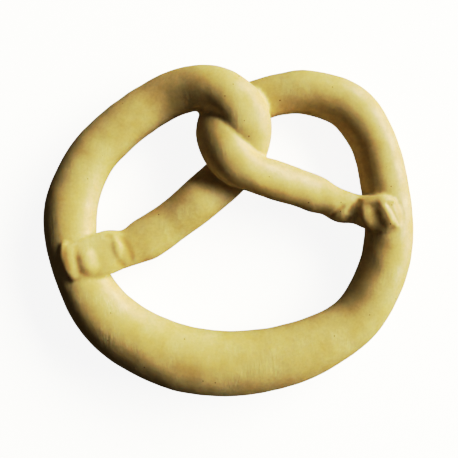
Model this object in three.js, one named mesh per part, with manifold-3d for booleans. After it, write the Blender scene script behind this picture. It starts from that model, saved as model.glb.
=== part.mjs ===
// An unbaked pretzel: one rope of pale yeast dough, thick in the belly and slimmer towards its ends.
// The rope lies in a loop, is twisted once round itself, and its two ends are pinched onto the loop.
// Millimetres, +Z up, resting on z = 0. +X is to the right and +Y points from the belly to the twist.

import * as THREE from "three";
import { mergeVertices } from "three/addons/utils/BufferGeometryUtils.js";
import Module from "manifold-3d";

const wasm = await Module();
wasm.setup();

// Driving dimensions of the dough.
const OVERALL_WIDTH = 140;
const SLUMP = 0.73; // soft dough is this much flatter than it is wide
const SINK = 0.88; // height of the rope's centre over its half height, so that its underside lies flat
const DOUGH_COLOUR = 0xd8c67c;

// How finely the rope and the small folds are faceted.
const ROPE_SIDES = 24;
const FOLD_SIDES = 10;
const RING_SPACING = 4.2;
const FOLD_RING_SPACING = 2.2;
const TIP_RINGS = 3;
const TIP_REACH = 3.2; // how far the rope's rounded ends reach past its first and last station
const LENGTH_SAMPLES = 40; // per station, for measuring along a route
const SAME_POINT = 1e-4; // vertices closer than this are one

// The rope's route as stations: x, y and half width. A station lies on the table unless it also has
// the height of its centre and its half height, where the rope climbs over itself or over the loop.
// Where the rope leans on itself, the last number is by how many degrees its left side is raised.
const LEFT_END = [
  [-58.2, -11.6, 7.0, 13.8, 2.7],
  [-50.3, -9.8, 8.1, 11.8, 2.9],
  [-44.8, -7.8, 8.4, 9.9, 3.6],
  [-38.6, -6.4, 7.1, 7.8, 4.5],
  [-31.9, -3.2, 8.3, 6.2, 5.6],
];
const LEFT_STRAND = [
  [-22.8, 2.9, 8.1],
  [-11.4, 11.8, 8.5],
  [-3.1, 19.0, 8.8, 4.2, 4.7],
  [3.7, 25.5, 8.6, 5.6, 5.0],
  [6.0, 33.1, 9.5, 8.5, 5.7, 6],
  [6.2, 39.3, 10.2, 10.8, 6.0, 9],
  [4.6, 45.4, 9.6, 11.9, 5.9, 10],
  [-0.8, 50.7, 8.9, 12.0, 5.9, 8],
  [-8.1, 53.2, 8.8, 10.7, 6.0, 2],
  [-17.9, 52.8, 8.7, 7.7, 6.2],
];
const LOOP = [
  [-27.2, 49.3, 8.8],
  [-42.7, 38.5, 9.0],
  [-53.8, 25.9, 9.3],
  [-60.1, 8.7, 10.0],
  [-58.1, -12.1, 9.9],
  [-45.2, -33.6, 11.3],
  [-21.3, -47.1, 12.4],
  [1.2, -50.1, 12.2],
  [22.8, -46.9, 11.5],
  [46.0, -35.7, 9.8],
  [56.4, -21.0, 9.5],
  [61.1, -2.3, 9.3],
  [59.6, 17.2, 9.0],
  [54.6, 35.5, 8.9],
  [45.2, 47.7, 9.0],
  [29.9, 52.9, 8.6],
];
const RIGHT_STRAND = [
  [20.0, 52.4, 8.1],
  [12.4, 50.5, 8.1, 4.9, 5.6],
  [4.0, 47.7, 8.2, 4.6, 4.9],
  [-1.7, 43.9, 8.8, 7.2, 6.2],
  [-3.2, 37.4, 9.6, 9.1, 7.2, 10],
  [-1.6, 30.7, 8.9, 10.8, 6.5, 6],
  [2.9, 24.7, 8.5, 11.8, 5.8, -2],
  [9.4, 21.2, 7.4, 11.2, 5.6, -12],
  [17.2, 19.1, 7.8, 9.5, 5.5, -15],
  [26.1, 16.4, 7.4, 7.8, 5.3, -16],
];
const RIGHT_END = [
  [33.6, 13.8, 7.4, 6.9, 5.1, -15],
  [38.6, 11.5, 6.2, 7.0, 4.8, -10],
  [42.9, 9.2, 6.3, 7.7, 4.0],
  [48.1, 8.1, 5.7, 8.4, 3.1],
  [54.4, 6.7, 6.9, 10.3, 3.2],
  [60.4, 6.8, 6.1, 10.9, 3.0],
];

// Folds pinched up by the fingers: short rolls of dough that lie across the flattened ends.
// Each is a list of x, y, half width, height of its centre and half height.
const LEFT_FOLDS = [
  // Rolled edge of the left end
  [
    [-60.4, -6.2, 2.2, 12.8, 2.6],
    [-60.0, -9.2, 2.8, 13.2, 2.9],
    [-59.0, -12.8, 2.8, 13.1, 2.9],
    [-57.8, -16.2, 2.1, 12.5, 2.7],
  ],
  // Fold where the left end leaves the strand
  [
    [-42.9, -2.4, 1.8, 9.7, 2.3],
    [-42.0, -4.8, 2.8, 10.5, 2.7],
    [-41.4, -7.6, 2.9, 10.6, 2.8],
    [-40.8, -10.4, 2.1, 9.8, 2.5],
  ],
];
const RIGHT_FOLDS = [
  // Left lobe of the right end
  [
    [51.2, 9.2, 3.4, 11.2, 2.2],
    [51.4, 7.0, 3.9, 11.4, 2.2],
    [52.0, 4.4, 3.4, 11.2, 2.2],
  ],
  // Small lobe at its lower edge
  [
    [54.4, 4.8, 2.6, 11.3, 2.1],
    [56.0, 3.2, 3.1, 11.4, 2.1],
    [58.0, 1.8, 2.5, 11.0, 2.1],
  ],
  // Right lobe with the sharp edge
  [
    [57.4, 9.8, 2.8, 12.1, 2.6],
    [59.3, 7.6, 3.6, 12.6, 2.8],
    [60.5, 5.2, 3.5, 12.5, 2.8],
    [61.3, 3.2, 2.6, 11.9, 2.5],
  ],
  // Upper rim
  [
    [50.4, 10.0, 2.0, 11.4, 2.0],
    [53.2, 10.5, 2.4, 11.8, 2.1],
    [56.8, 10.7, 2.6, 12.4, 2.4],
    [60.2, 10.0, 2.0, 12.4, 2.3],
  ],
];

// Fills in the height of a station that lies on the table.
function station([x, y, halfWidth, height, halfHeight, lean = 0]) {
  const thickness = halfHeight ?? halfWidth * SLUMP;
  return {
    centre: new THREE.Vector3(x, y, height ?? thickness * SINK),
    section: new THREE.Vector3(halfWidth, thickness, lean),
  };
}

// Smooth rings along a route: centre, sideways and upward directions, half width and half height.
function ringsAlong(route, spacing) {
  const stations = route.map(station);
  const line = new THREE.CatmullRomCurve3(stations.map((s) => s.centre));
  const sections = new THREE.CatmullRomCurve3(
    stations.map((s) => s.section),
    false,
    "catmullrom",
  );
  line.arcLengthDivisions = LENGTH_SAMPLES * stations.length;
  const count = Math.round(line.getLength() / spacing);
  const rings = [];
  for (let i = 0; i <= count; i++) {
    const share = line.getUtoTmapping(i / count);
    const section = sections.getPoint(share);
    const ahead = line.getTangent(share);
    const side = new THREE.Vector3(0, 0, 1).cross(ahead).normalize();
    side.applyAxisAngle(ahead, THREE.MathUtils.degToRad(section.z));
    const up = ahead.clone().cross(side);
    const centre = line.getPoint(share);
    rings.push({ centre, side, up, halfWidth: section.x, halfHeight: section.y });
  }
  return rings;
}

// The same ring shrunk to a point, which closes a roll with a flat end.
function closing(ring) {
  return { ...ring, halfWidth: 0, halfHeight: 0 };
}

// A dome of ever smaller rings past one end of a roll. Sense is 1 for ahead and -1 for back.
function dome(ring, sense, reach) {
  const outwards = ring.side.clone().cross(ring.up).multiplyScalar(sense * reach);
  const rings = [];
  for (let i = 1; i <= TIP_RINGS; i++) {
    const angle = (Math.PI / 2) * (i / TIP_RINGS);
    rings.push({
      ...ring,
      centre: ring.centre.clone().addScaledVector(outwards, Math.sin(angle)),
      halfWidth: ring.halfWidth * Math.cos(angle),
      halfHeight: ring.halfHeight * Math.cos(angle),
    });
  }
  return rings;
}

// A roll's rings with a dome at both ends.
function domed(rings, reach) {
  return [...dome(rings[0], -1, reach).reverse(), ...rings, ...dome(rings.at(-1), 1, reach)];
}

// A closed solid through rings of which the first and the last are points: a sphere's rows of
// vertices, from pole to pole, are laid onto them.
function solidThrough(rings, sides) {
  const rows = rings.length - 1;
  const skin = new THREE.SphereGeometry(1, sides, rows);
  const { position, uv } = skin.attributes;
  for (let i = 0; i < position.count; i++) {
    const ring = rings[Math.round((1 - uv.getY(i)) * rows)];
    const angle = -2 * Math.PI * uv.getX(i);
    const point = ring.centre.clone();
    point.addScaledVector(ring.side, ring.halfWidth * Math.cos(angle));
    point.addScaledVector(ring.up, ring.halfHeight * Math.sin(angle));
    position.setXYZ(i, point.x, point.y, point.z);
  }
  return solidOf(skin);
}

// A closed three.js geometry as a solid that can be joined and cut.
function solidOf(geometry) {
  const bare = geometry.clone();
  bare.deleteAttribute("normal");
  bare.deleteAttribute("uv");
  const merged = mergeVertices(bare, SAME_POINT);
  const mesh = new wasm.Mesh({
    numProp: 3,
    vertProperties: merged.attributes.position.array,
    triVerts: new Uint32Array(merged.index.array),
  });
  return new wasm.Manifold(mesh);
}

// The whole rope in three lengths that share their end rings, because it passes over itself.
function rope() {
  const route = [...LEFT_END, ...LEFT_STRAND, ...LOOP, ...RIGHT_STRAND, ...RIGHT_END];
  const rings = domed(ringsAlong(route, RING_SPACING), TIP_REACH);
  const third = Math.round(rings.length / 3);
  const lengths = [
    [...rings.slice(0, third + 1), closing(rings[third])],
    [closing(rings[third]), ...rings.slice(third, 2 * third + 1), closing(rings[2 * third])],
    [closing(rings[2 * third]), ...rings.slice(2 * third)],
  ];
  return lengths.map((length) => solidThrough(length, ROPE_SIDES));
}

function fold(route) {
  const rings = ringsAlong(route, FOLD_RING_SPACING);
  return solidThrough(domed(rings, rings[0].halfWidth), FOLD_SIDES);
}

// The table's side of z = 0, which the soft underside lies flat on.
function belowTable() {
  const block = new THREE.BoxGeometry(2 * OVERALL_WIDTH, 2 * OVERALL_WIDTH, OVERALL_WIDTH);
  return solidOf(block.translate(0, 0, -OVERALL_WIDTH / 2));
}

// Where many facets meet, joining leaves slivers without volume. The dough is the largest body.
function dough() {
  const pieces = [...rope(), ...LEFT_FOLDS.map(fold), ...RIGHT_FOLDS.map(fold)];
  const joined = pieces.reduce((sum, piece) => sum.add(piece));
  const bodies = joined.subtract(belowTable()).decompose();
  const largest = bodies.reduce((a, b) => (b.volume() > a.volume() ? b : a));
  const mesh = largest.getMesh();
  const geometry = new THREE.BufferGeometry();
  geometry.setAttribute("position", new THREE.BufferAttribute(mesh.vertProperties, 3));
  geometry.setIndex(new THREE.BufferAttribute(mesh.triVerts, 1));
  geometry.computeVertexNormals();
  return geometry;
}

const pretzel = new THREE.Group();
const doughMaterial = new THREE.MeshStandardMaterial({
  color: DOUGH_COLOUR,
  roughness: 0.5,
  metalness: 0,
});
const body = new THREE.Mesh(dough(), doughMaterial);
body.name = "pretzel_dough";
pretzel.add(body);

export default pretzel;
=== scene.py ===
import math

import bmesh
import bpy
import numpy as np
from mathutils import Matrix, Quaternion, Vector, noise


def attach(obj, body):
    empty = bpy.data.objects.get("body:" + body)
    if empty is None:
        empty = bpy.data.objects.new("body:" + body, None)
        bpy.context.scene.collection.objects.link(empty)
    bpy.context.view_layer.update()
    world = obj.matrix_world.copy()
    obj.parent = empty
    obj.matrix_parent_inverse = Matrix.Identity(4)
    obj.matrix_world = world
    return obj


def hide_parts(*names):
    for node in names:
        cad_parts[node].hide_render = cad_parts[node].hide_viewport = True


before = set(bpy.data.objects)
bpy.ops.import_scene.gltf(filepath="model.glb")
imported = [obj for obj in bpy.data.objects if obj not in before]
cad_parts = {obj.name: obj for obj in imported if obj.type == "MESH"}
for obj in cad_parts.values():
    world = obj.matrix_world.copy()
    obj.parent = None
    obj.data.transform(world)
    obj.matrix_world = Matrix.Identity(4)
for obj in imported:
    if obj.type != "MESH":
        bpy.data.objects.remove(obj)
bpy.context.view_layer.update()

# The rope of dough.
# One rope of raw yeast dough, rolled by hand, thick in the belly and slimmer towards its ends.
# It lies in a loop, is twisted once round itself, and its ends are pinched and pressed onto it.
MM = 0.001
SLUMP = 0.73      # soft dough is this much flatter than it is wide
SINK = 0.88       # height of the rope's centre over its half height
ROPE_SIDES = 56
RING_STEP = 1.2   # mm along the rope
CURVE_STEPS = 60  # between two stations, before the rings are spaced evenly
TIP_STEPS = 6     # over the dome at each end of a roll
TIP_REACH = 3.2   # mm that the rope's rounded ends reach past its first and last station

# Stations of the route in mm: x, y and half width, and off the table also the height of the
# rope's centre and its half height. Where it leans on itself: the degrees by which its left side
# is raised.
ROPE = [
    (-58.2, -11.6, 7.0, 13.8, 2.7),   # the left end, on the loop
    (-50.3, -9.8, 8.1, 11.8, 2.9),
    (-44.8, -7.8, 8.4, 9.9, 3.6),
    (-38.6, -6.4, 7.1, 7.8, 4.5),
    (-31.9, -3.2, 8.3, 6.2, 5.6),
    (-22.8, 2.9, 8.1),                # the left strand
    (-11.4, 11.8, 8.5),
    (-3.1, 19.0, 8.8, 4.2, 4.7),      # under the right strand
    (3.7, 25.5, 8.6, 5.6, 5.0),
    (6.0, 33.1, 9.5, 8.5, 5.7, 6),
    (6.2, 39.3, 10.2, 10.8, 6.0, 9),
    (4.6, 45.4, 9.6, 11.9, 5.9, 10),      # over the right strand
    (-0.8, 50.7, 8.9, 12.0, 5.9, 8),
    (-8.1, 53.2, 8.8, 10.7, 6.0, 2),
    (-17.9, 52.8, 8.7, 7.7, 6.2),
    (-27.2, 49.3, 8.8),               # the loop, left side
    (-42.7, 38.5, 9.0),
    (-53.8, 25.9, 9.3),
    (-60.1, 8.7, 10.0),
    (-58.1, -12.1, 9.9),
    (-45.2, -33.6, 11.3),             # the belly
    (-21.3, -47.1, 12.4),
    (1.2, -50.1, 12.2),
    (22.8, -46.9, 11.5),
    (46.0, -35.7, 9.8),
    (56.4, -21.0, 9.5),               # the loop, right side
    (61.1, -2.3, 9.3),
    (59.6, 17.2, 9.0),
    (54.6, 35.5, 8.9),
    (45.2, 47.7, 9.0),
    (29.9, 52.9, 8.6),
    (20.0, 52.4, 8.1),                # the right strand
    (12.4, 50.5, 8.1, 4.9, 5.6),
    (4.0, 47.7, 8.2, 4.6, 4.9),       # under the left strand
    (-1.7, 43.9, 8.8, 7.2, 6.2),
    (-3.2, 37.4, 9.6, 9.1, 7.2, 10),
    (-1.6, 30.7, 8.9, 10.8, 6.5, 6),
    (2.9, 24.7, 8.5, 11.8, 5.8, -2),      # over the left strand
    (9.4, 21.2, 7.4, 11.2, 5.6, -12),
    (17.2, 19.1, 7.8, 9.5, 5.5, -15),
    (26.1, 16.4, 7.4, 7.8, 5.3, -16),
    (33.6, 13.8, 7.4, 6.9, 5.1, -15),
    (38.6, 11.5, 6.2, 7.0, 4.8, -10),      # the right end's neck
    (42.9, 9.2, 6.3, 7.7, 4.0),
    (48.1, 8.1, 5.7, 8.4, 3.1),
    (54.4, 6.7, 6.9, 10.3, 3.2),      # the right end, on the loop
    (60.4, 6.8, 6.1, 10.9, 3.0),
]

# Folds pinched up across the ends: short rolls, whose stations all have height and half height.
FOLD_SIDES = 28
FOLD_STEP = 0.7   # mm along the fold
FOLDS = [
    [  # rolled edge of the left end
        (-60.4, -6.2, 2.2, 12.8, 2.6),
        (-60.0, -9.2, 2.8, 13.2, 2.9),
        (-59.0, -12.8, 2.8, 13.1, 2.9),
        (-57.8, -16.2, 2.1, 12.5, 2.7),
    ],
    [  # fold where the left end leaves the strand
        (-42.9, -2.4, 1.8, 9.7, 2.3),
        (-42.0, -4.8, 2.8, 10.5, 2.7),
        (-41.4, -7.6, 2.9, 10.6, 2.8),
        (-40.8, -10.4, 2.1, 9.8, 2.5),
    ],
    [  # left lobe of the right end
        (51.2, 9.2, 3.4, 11.2, 2.2),
        (51.4, 7.0, 3.9, 11.4, 2.2),
        (52.0, 4.4, 3.4, 11.2, 2.2),
    ],
    [  # small lobe at its lower edge
        (54.4, 4.8, 2.6, 11.3, 2.1),
        (56.0, 3.2, 3.1, 11.4, 2.1),
        (58.0, 1.8, 2.5, 11.0, 2.1),
    ],
    [  # right lobe with the sharp edge
        (57.4, 9.8, 2.8, 12.1, 2.6),
        (59.3, 7.6, 3.6, 12.6, 2.8),
        (60.5, 5.2, 3.5, 12.5, 2.8),
        (61.3, 3.2, 2.6, 11.9, 2.5),
    ],
    [  # upper rim
        (50.4, 10.0, 2.0, 11.4, 2.0),
        (53.2, 10.5, 2.4, 11.8, 2.1),
        (56.8, 10.7, 2.6, 12.4, 2.4),
        (60.2, 10.0, 2.0, 12.4, 2.3),
    ],
]

# Lines that the fingertips work into the ends: half width and lift in mm, which is below zero
# for a crease, then x and y along each.
LINES = [
    # left end
    (1.3, -0.08, [(-60.0, -5.8), (-59.6, -8.6), (-59.0, -11.2), (-58.2, -13.8)]),
    (1.9, 0.10, [(-57.8, -5.8), (-57.2, -8.8), (-56.6, -12.4), (-56.4, -16.6)]),
    (1.4, -0.04, [(-55.8, -6.0), (-55.1, -10.4), (-54.0, -15.6)]),
    (4.4, 1.15, [(-52.2, -9.6), (-51.4, -12.8)]),
    (1.9, -0.18, [(-40.0, -3.0), (-38.4, -4.6), (-37.2, -6.4), (-36.6, -8.4), (-36.4, -10.4)]),
    (2.0, -0.25, [(-40.8, -11.9), (-39.8, -12.8)]),
    (1.6, -0.20, [(-45.4, -1.8), (-44.2, -2.2)]),
    # neck
    (1.6, 0.10, [(42.2, 4.2), (42.6, 6.6), (43.8, 9.0), (46.0, 11.2)]),
    (1.3, -0.30, [(42.2, 9.0), (40.3, 7.5), (38.5, 6.1)]),
    (1.4, -0.30, [(44.6, 7.4), (46.0, 9.4), (48.0, 11.2)]),
    # right end
    (1.9, 0.20, [(48.6, 9.0), (48.7, 6.6), (49.4, 4.0)]),
    (4.2, -0.40, [(60.6, 9.4), (61.6, 7.0), (62.6, 5.0)]),
    (2.8, 0.60, [(56.2, 7.6), (57.0, 5.4), (58.4, 3.2)]),
    (1.6, 0.24, [(55.6, 10.4), (57.3, 8.8), (58.3, 7.0), (59.4, 4.8), (60.6, 3.0), (61.4, 2.0)]),
    (0.8, -0.12, [(58.3, 9.8), (59.8, 7.7), (60.8, 5.8), (62.0, 4.1), (62.9, 2.6)]),
]


def full_station(x, y, half_width, height=None, half_height=None, lean=0):
    """A station as x, y, z, half width and half height in metres, and the lean in degrees."""
    half_height = half_height or half_width * SLUMP
    height = half_height * SINK if height is None else height
    return [MM * value for value in (x, y, height, half_width, half_height)] + [lean]


def even_steps(route, step):
    """Stations spaced evenly along a centripetal Catmull-Rom curve through a route's stations."""
    knots = np.array([full_station(*station) for station in route])
    gaps = np.linalg.norm(np.diff(knots[:, :3], axis=0), axis=1) ** 0.5
    slopes = np.diff(knots, axis=0) / gaps[:, None]
    across = (knots[2:] - knots[:-2]) / (gaps[1:] + gaps[:-1])[:, None]
    tangents = np.vstack([slopes[:1], slopes[:-1] - across + slopes[1:], slopes[-1:]])
    fine = []
    for i, gap in enumerate(gaps):
        for u in np.linspace(0, 1, CURVE_STEPS, endpoint=i == len(gaps) - 1):
            # A cubic that keeps the curve's tangent at both stations.
            fine.append(
                knots[i] * (1 + 2 * u) * (1 - u) ** 2
                + tangents[i] * gap * u * (1 - u) ** 2
                + knots[i + 1] * u * u * (3 - 2 * u)
                + tangents[i + 1] * gap * u * u * (u - 1)
            )
    fine = np.array(fine)
    length = np.append(0, np.cumsum(np.linalg.norm(np.diff(fine[:, :3], axis=0), axis=1)))
    even = np.linspace(0, length[-1], round(length[-1] / (step * MM)) + 1)
    return np.stack([np.interp(even, length, column) for column in fine.T], axis=1)


def ring_places(stations, reach):
    """Where a unit circle goes for each ring of a roll. Smaller rings dome off both its ends."""
    places = []
    for station, ahead in zip(stations, np.gradient(stations[:, :3], axis=0)):
        ahead = Vector(ahead).normalized()
        side = Vector((0, 0, 1)).cross(ahead).normalized()
        side.rotate(Quaternion(ahead, math.radians(station[5])))
        up = ahead.cross(side)
        columns = (side * station[3], up * station[4], ahead, Vector(station[:3]))
        place = Matrix.Identity(4)
        for i, column in enumerate(columns):
            place.col[i][:3] = column
        places.append(place)
    for end, sense in ((places[0], -1), (places[-1], 1)):
        for i in range(1, TIP_STEPS):
            angle = math.pi / 2 * i / TIP_STEPS
            shrink = Matrix.Diagonal((math.cos(angle), math.cos(angle), 1, 1))
            place = end @ Matrix.Translation((0, 0, sense * reach * math.sin(angle))) @ shrink
            if sense < 0:
                places.insert(0, place)
            else:
                places.append(place)
    return places


def add_roll(bm, route, step, sides, reach=None):
    """A roll of dough: a circle drawn out from ring to ring along a route, closed at its ends."""
    stations = even_steps(route, step)
    places = ring_places(stations, stations[0][3] if reach is None else reach * MM)
    verts = bmesh.ops.create_circle(
        bm, cap_ends=True, segments=sides, radius=1, matrix=places[0]
    )["verts"]
    edges = list({edge for vert in verts for edge in vert.link_edges})
    for before, here in zip(places, places[1:]):
        drawn = bmesh.ops.extrude_edge_only(bm, edges=edges)["geom"]
        verts = [part for part in drawn if isinstance(part, bmesh.types.BMVert)]
        edges = [part for part in drawn if isinstance(part, bmesh.types.BMEdge)]
        bmesh.ops.transform(bm, matrix=here @ before.inverted(), verts=verts)
    bmesh.ops.contextual_create(bm, geom=edges)


rolls = bmesh.new()
add_roll(rolls, ROPE, RING_STEP, ROPE_SIDES, TIP_REACH)
for fold in FOLDS:
    add_roll(rolls, fold, FOLD_STEP, FOLD_SIDES)
bmesh.ops.recalc_face_normals(rolls, faces=rolls.faces)
dough_mesh = bpy.data.meshes.new("pretzel")
rolls.to_mesh(dough_mesh)
rolls.free()
dough = bpy.data.objects.new("pretzel", dough_mesh)
bpy.context.scene.collection.objects.link(dough)

# The rolls grow together into one skin, and their creases soften.
SKIN_GRAIN = 0.615  # mm, the size of the skin's faces
CREASE_ROUNDS = 3
SMOOTHING = 0.5     # of the way to its neighbours that a point moves in one round

skin = dough.modifiers.new("one_skin", "REMESH")
skin.mode = "VOXEL"
skin.voxel_size = SKIN_GRAIN * MM
soften = dough.modifiers.new("soft_creases", "SMOOTH")
soften.factor = SMOOTHING
soften.iterations = CREASE_ROUNDS
depsgraph = bpy.context.evaluated_depsgraph_get()
grown = bpy.data.meshes.new_from_object(dough.evaluated_get(depsgraph))
dough.modifiers.clear()
dough.data = grown
bpy.data.meshes.remove(dough_mesh)

# The right end and its neck are patted softer than the rest: x, y, z and reach of each place in
# mm, and the number of pats.
PATTED = [(58.0, 5.4, 13.0, 6.2, 80), (46.2, 6.8, 10.5, 4.2, 30)]

patting = bmesh.new()
patting.from_mesh(grown)
for *middle, reach, pats in PATTED:
    middle = Vector(middle) * MM
    near = [vert for vert in patting.verts if (vert.co - middle).length < reach * MM]
    for _ in range(pats):
        bmesh.ops.smooth_vert(
            patting, verts=near, factor=SMOOTHING,
            use_axis_x=True, use_axis_y=True, use_axis_z=True,
        )
patting.to_mesh(grown)
patting.free()

# Fingertips work the lines into the ends. Hands leave swells, dents and small dimples all over,
# each given by its size across and its depth in mm. The table flattens the underside.
UPPER_SIDE = 6.0    # mm, lines are only worked into what is higher
UNEVEN = [(17.0, 0.30), (6.0, 0.13), (2.8, 0.045)]
TAKEN_IN = 0.15     # mm, so that the swells keep inside the solid's box

grown.update()
points = np.empty(3 * len(grown.vertices))
grown.vertices.foreach_get("co", points)
points = points.reshape(-1, 3) / MM
outwards = np.empty(points.size)
grown.vertices.foreach_get("normal", outwards)
outwards = outwards.reshape(-1, 3)
worked = np.zeros(len(points))
# Where a line is a crease, a share of painted shade is kept for the material to darken it.
crease_shade_share = np.zeros(len(points))
for half_width, lift, line in LINES:
    nearest = np.full(len(points), np.inf)
    for start, end in zip(np.array(line), np.array(line[1:])):
        along = (points[:, :2] - start) @ (end - start) / ((end - start) @ (end - start))
        foot = start + np.clip(along, 0, 1)[:, None] * (end - start)
        nearest = np.minimum(nearest, np.linalg.norm(points[:, :2] - foot, axis=1))
    share = np.clip(1 - (nearest / half_width) ** 2, 0, 1) ** 2  # one on the line itself
    worked += lift * share
    if lift < 0:
        crease_shade_share = np.maximum(crease_shade_share, share)
lower = (points[:, 2] < UPPER_SIDE) | (outwards[:, 2] < 0)
worked[lower] = 0
crease_shade_share[lower] = 0
points += outwards * worked[:, None]
grown.vertices.foreach_set("co", points.ravel() * MM)
# The crease share goes onto the skin; the material paints shade into the creases with it.
crease_shade_marks = grown.attributes.new("painted_crease_shade", "FLOAT", "POINT")
crease_shade_marks.data.foreach_set("value", crease_shade_share)

relief = bmesh.new()  # each of its patterns is shifted, so that they don't line up
relief.from_mesh(grown)
relief.normal_update()
for vert in relief.verts:
    lift = sum(
        depth * noise.noise(vert.co / (size * MM) + Vector((size, 0, 0)))
        for size, depth in UNEVEN
    ) - TAKEN_IN
    vert.co += vert.normal * lift * MM
for vert in relief.verts:
    vert.co.z = max(vert.co.z, 0)
for face in relief.faces:
    face.smooth = True
relief.to_mesh(grown)
relief.free()


# Raw yeast dough, rolled and left to dry for a moment: a waxy skin that light gets into a little
# and that shines softly, in ochre with paler clouds. It has a few specks of bran, and faint
# streaks where rolling drew it out. Shade is painted into its creases as a warmer, darker tint.
def linear(hex_colour):
    """An sRGB hex colour as linear RGBA."""
    channels = [int(hex_colour[i : i + 2], 16) / 255 for i in (1, 3, 5)]
    return tuple(
        c / 12.92 if c <= 0.04045 else ((c + 0.055) / 1.055) ** 2.4 for c in channels
    ) + (1.0,)


def add_node(tree, kind, settings=None, values=None, links=None):
    """A node with its settings, its sockets' values, and links from other nodes' sockets."""
    node = tree.nodes.new(kind)
    for name, value in (settings or {}).items():
        setattr(node, name, value)
    for name, value in (values or {}).items():
        node.inputs[name].default_value = value
    for name, source in (links or {}).items():
        tree.links.new(source, node.inputs[name])
    return node


CLOUD_SIZE = 9.0       # mm, patches of deeper and paler dough
DOUGH_TONES = [(0.32, "#DFC288"), (0.68, "#E9D3A2")]
GRAIN_SIZE = 1.1       # mm, the crumb under the skin
SPECK_COLOUR = "#6B4A22"
SPECK_SPACING = 4.6    # mm
SPECK_CHANCE = 0.6     # a place whose chance value is lower holds a speck
SPECK_RADIUS = 0.36    # mm
SPECK_COVER = 0.8      # of the dough's colour that a speck hides
# Painted shade: a warmer, darker colour laid into the creases, where shade falls.
CREASE_SHADE_COLOUR = "#C8964E"
CREASE_SHADE_SHARE = 0.35     # share of that colour in the deepest creases
STREAK_WIDTH = 1.0     # mm
STREAK_STRETCH = 0.28  # width over length
STREAK_TURN = math.radians(-12)
STREAK_DEPTH = 0.11    # mm
LIGHT_REACH = 2.0      # mm that light gets into the dough

raw_dough = bpy.data.materials.new("raw_yeast_dough")
raw_dough.use_nodes = True
tree = raw_dough.node_tree
tree.nodes.clear()
place = add_node(tree, "ShaderNodeTexCoord").outputs["Object"]
clouds = add_node(
    tree, "ShaderNodeTexNoise",
    values={"Scale": 1 / (CLOUD_SIZE * MM), "Detail": 3.0, "Roughness": 0.55},
    links={"Vector": place},
)
colours = add_node(tree, "ShaderNodeValToRGB", links={"Fac": clouds.outputs["Fac"]})
for stop, (cloudiness, tone) in zip(colours.color_ramp.elements, DOUGH_TONES):
    stop.position = cloudiness
    stop.color = linear(tone)
crumb = add_node(
    tree, "ShaderNodeTexNoise",
    values={"Scale": 1 / (GRAIN_SIZE * MM), "Detail": 2.0, "Roughness": 0.6},
    links={"Vector": place},
)
crumb_tone = add_node(
    tree, "ShaderNodeMapRange",
    values={"From Min": 0.3, "From Max": 0.7, "To Min": 0.92, "To Max": 1.06},
    links={"Value": crumb.outputs["Fac"]},
)
body_colour = add_node(
    tree, "ShaderNodeVectorMath",
    settings={"operation": "SCALE"},
    links={"Vector": colours.outputs["Color"], "Scale": crumb_tone.outputs["Result"]},
)
cells = add_node(
    tree, "ShaderNodeTexVoronoi",
    values={"Scale": 1 / (SPECK_SPACING * MM)},
    links={"Vector": place},
)
near_speck = add_node(
    tree, "ShaderNodeMapRange",
    settings={"interpolation_type": "SMOOTHSTEP"},
    values={
        "From Min": 0.5 * SPECK_RADIUS / SPECK_SPACING,
        "From Max": SPECK_RADIUS / SPECK_SPACING,
        "To Min": SPECK_COVER,
        "To Max": 0.0,
    },
    links={"Value": cells.outputs["Distance"]},
)
has_speck = add_node(
    tree, "ShaderNodeMath",
    settings={"operation": "LESS_THAN"},
    values={1: SPECK_CHANCE},
    links={0: cells.outputs["Color"]},
)
speck = add_node(
    tree, "ShaderNodeMath",
    settings={"operation": "MULTIPLY"},
    links={0: near_speck.outputs["Result"], 1: has_speck.outputs["Value"]},
)
specked = add_node(
    tree, "ShaderNodeMix",
    settings={"data_type": "RGBA"},
    values={"B": linear(SPECK_COLOUR)},
    links={"Factor": speck.outputs["Value"], "A": body_colour.outputs["Vector"]},
)
# Painted shade in the creases: the crease share mixes the darker crease colour into the dough.
crease_shade_mask = add_node(tree, "ShaderNodeAttribute", settings={"attribute_name": "painted_crease_shade"})
crease_shade_amount = add_node(
    tree, "ShaderNodeMath",
    settings={"operation": "MULTIPLY"},
    values={1: CREASE_SHADE_SHARE},
    links={0: crease_shade_mask.outputs["Fac"]},
)
crease_shaded_colour = add_node(
    tree, "ShaderNodeMix",
    settings={"data_type": "RGBA"},
    values={"B": linear(CREASE_SHADE_COLOUR)},
    links={"Factor": crease_shade_amount.outputs["Value"], "A": specked.outputs["Result"]},
)
sheen = add_node(
    tree, "ShaderNodeMapRange",
    values={"From Min": 0.35, "From Max": 0.65, "To Min": 0.55, "To Max": 0.34},
    links={"Value": clouds.outputs["Fac"]},
)
drawn_out = add_node(
    tree, "ShaderNodeMapping",
    values={"Rotation": (0, 0, STREAK_TURN), "Scale": (1, STREAK_STRETCH, 1)},
    links={"Vector": place},
)
streaks = add_node(
    tree, "ShaderNodeTexNoise",
    values={"Scale": 1 / (STREAK_WIDTH * MM), "Detail": 1.0, "Roughness": 0.4},
    links={"Vector": drawn_out.outputs["Vector"]},
)
streaked = add_node(
    tree, "ShaderNodeMapRange",
    values={"From Min": 0.50, "From Max": 0.68, "To Min": 0.1, "To Max": 1.0},
    links={"Value": clouds.outputs["Fac"]},
)
bump = add_node(
    tree, "ShaderNodeBump",
    values={"Distance": STREAK_DEPTH * MM},
    links={"Height": streaks.outputs["Fac"], "Strength": streaked.outputs["Result"]},
)
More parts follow.
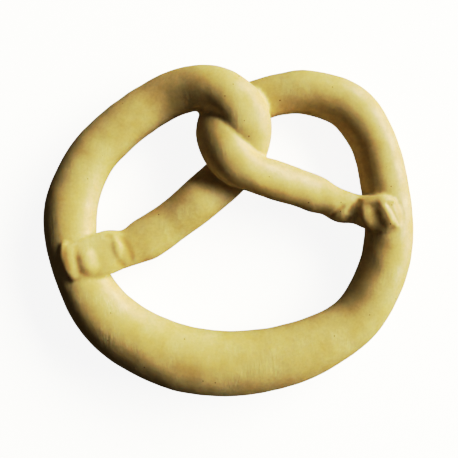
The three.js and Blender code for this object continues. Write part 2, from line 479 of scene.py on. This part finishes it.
dough_shader = add_node(
    tree, "ShaderNodeBsdfPrincipled",
    settings={"subsurface_method": "RANDOM_WALK"},
    values={
        "IOR": 1.43,
        "Subsurface Weight": 0.35,
        "Subsurface Radius": (1.0, 0.62, 0.25),
        "Subsurface Scale": LIGHT_REACH * MM,
    },
    links={
        "Base Color": crease_shaded_colour.outputs["Result"],
        "Roughness": sheen.outputs["Result"],
        "Normal": bump.outputs["Normal"],
    },
)
add_node(tree, "ShaderNodeOutputMaterial", links={"Surface": dough_shader.outputs["BSDF"]})
grown.materials.append(raw_dough)

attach(dough, "root")
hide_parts("pretzel_dough")

# The floor.
# A plain pale sheet of paper under the dough. It glows a little, so that it shows nearly white,
# but sends no light back up at the dough.
FLOOR_SIZE = 4.0  # metres
PAPER_COLOUR = "#D8D8D6"
PAPER_ROUGHNESS = 0.9
PAPER_GLOW = 1.4

sheet_mesh = bpy.data.meshes.new("floor")
sheet = bmesh.new()
bmesh.ops.create_grid(sheet, x_segments=1, y_segments=1, size=FLOOR_SIZE / 2)
sheet.to_mesh(sheet_mesh)
sheet.free()
floor = bpy.data.objects.new("floor", sheet_mesh)
bpy.context.scene.collection.objects.link(floor)
floor.visible_diffuse = False
floor.visible_glossy = False
paper = bpy.data.materials.new("pale_paper")
paper.use_nodes = True
paper_shader = paper.node_tree.nodes["Principled BSDF"]
paper_shader.inputs["Base Color"].default_value = linear(PAPER_COLOUR)
paper_shader.inputs["Roughness"].default_value = PAPER_ROUGHNESS
paper_shader.inputs["Emission Color"].default_value = linear("#FFFFFF")
paper_shader.inputs["Emission Strength"].default_value = PAPER_GLOW
sheet_mesh.materials.append(paper)

# Light and camera.
# One large soft lamp low at the right and a dim room. The camera looks straight down, with the
# belly at the bottom of the picture.
LAMP_AZIMUTH = math.radians(25)
LAMP_ELEVATION = math.radians(22)
LAMP_DISTANCE = 2.5  # metres, as its width and height are
LAMP_WIDTH = 3.3
LAMP_HEIGHT = 1.0
LAMP_POWER = 134.0   # watts
LAMP_COLOUR = "#FFFBDC"
AIM = Vector((0, 0, 0.01))
ROOM_COLOUR = "#E0C8A0"
ROOM_LIGHT = 0.04

window = bpy.data.lights.new("window", "AREA")
window.shape = "RECTANGLE"
window.size = LAMP_WIDTH
window.size_y = LAMP_HEIGHT
window.energy = LAMP_POWER
window.color = linear(LAMP_COLOUR)[:3]
window_object = bpy.data.objects.new("window", window)
bpy.context.scene.collection.objects.link(window_object)
away = Vector((1, 0, 0))
away.rotate(Quaternion((0, 1, 0), -LAMP_ELEVATION))
away.rotate(Quaternion((0, 0, 1), LAMP_AZIMUTH))
window_object.location = AIM + away * LAMP_DISTANCE
window_object.rotation_euler = away.to_track_quat("Z", "Y").to_euler()

room = bpy.data.worlds.new("dim_room")
bpy.context.scene.world = room
room.use_nodes = True
room.node_tree.nodes["Background"].inputs["Color"].default_value = linear(ROOM_COLOUR)
room.node_tree.nodes["Background"].inputs["Strength"].default_value = ROOM_LIGHT

CAMERA_HEIGHT = 0.20    # metres above the table
ROPE_MIDDLE = 0.009     # half the height of the rope
PICTURE_WIDTH = 0.1724  # what the picture takes in at that height
PICTURE_CENTRE = (0.00007, 0.00068)
SENSOR_MM = 36.0

camera_data = bpy.data.cameras.new("camera")
camera_data.sensor_width = SENSOR_MM
camera_data.lens = SENSOR_MM * (CAMERA_HEIGHT - ROPE_MIDDLE) / PICTURE_WIDTH
camera = bpy.data.objects.new("camera", camera_data)
camera.location = (*PICTURE_CENTRE, CAMERA_HEIGHT)
bpy.context.scene.collection.objects.link(camera)
bpy.context.scene.camera = camera

# The photograph's tones: deep shadows, bright middle tones and soft highlights. Each pair is the
# light in the scene and how bright it is shown.
ALL_CHANNELS = 3  # place of the curve for red, green and blue together
TONES = [
    (0.0, 0.0),
    (0.04, 0.03),
    (0.15, 0.15),
    (0.42, 0.51),
    (0.9, 0.74),
    (1.6, 0.95),
    (2.4, 1.0),
]
view = bpy.context.scene.view_settings
view.view_transform = "Standard"
view.use_curve_mapping = True
tones = view.curve_mapping
tones.clip_max_x = TONES[-1][0]
curve = tones.curves[ALL_CHANNELS]
curve.points[0].location = TONES[0]
curve.points[1].location = TONES[-1]
for point in TONES[1:-1]:
    curve.points.new(*point)
tones.update()
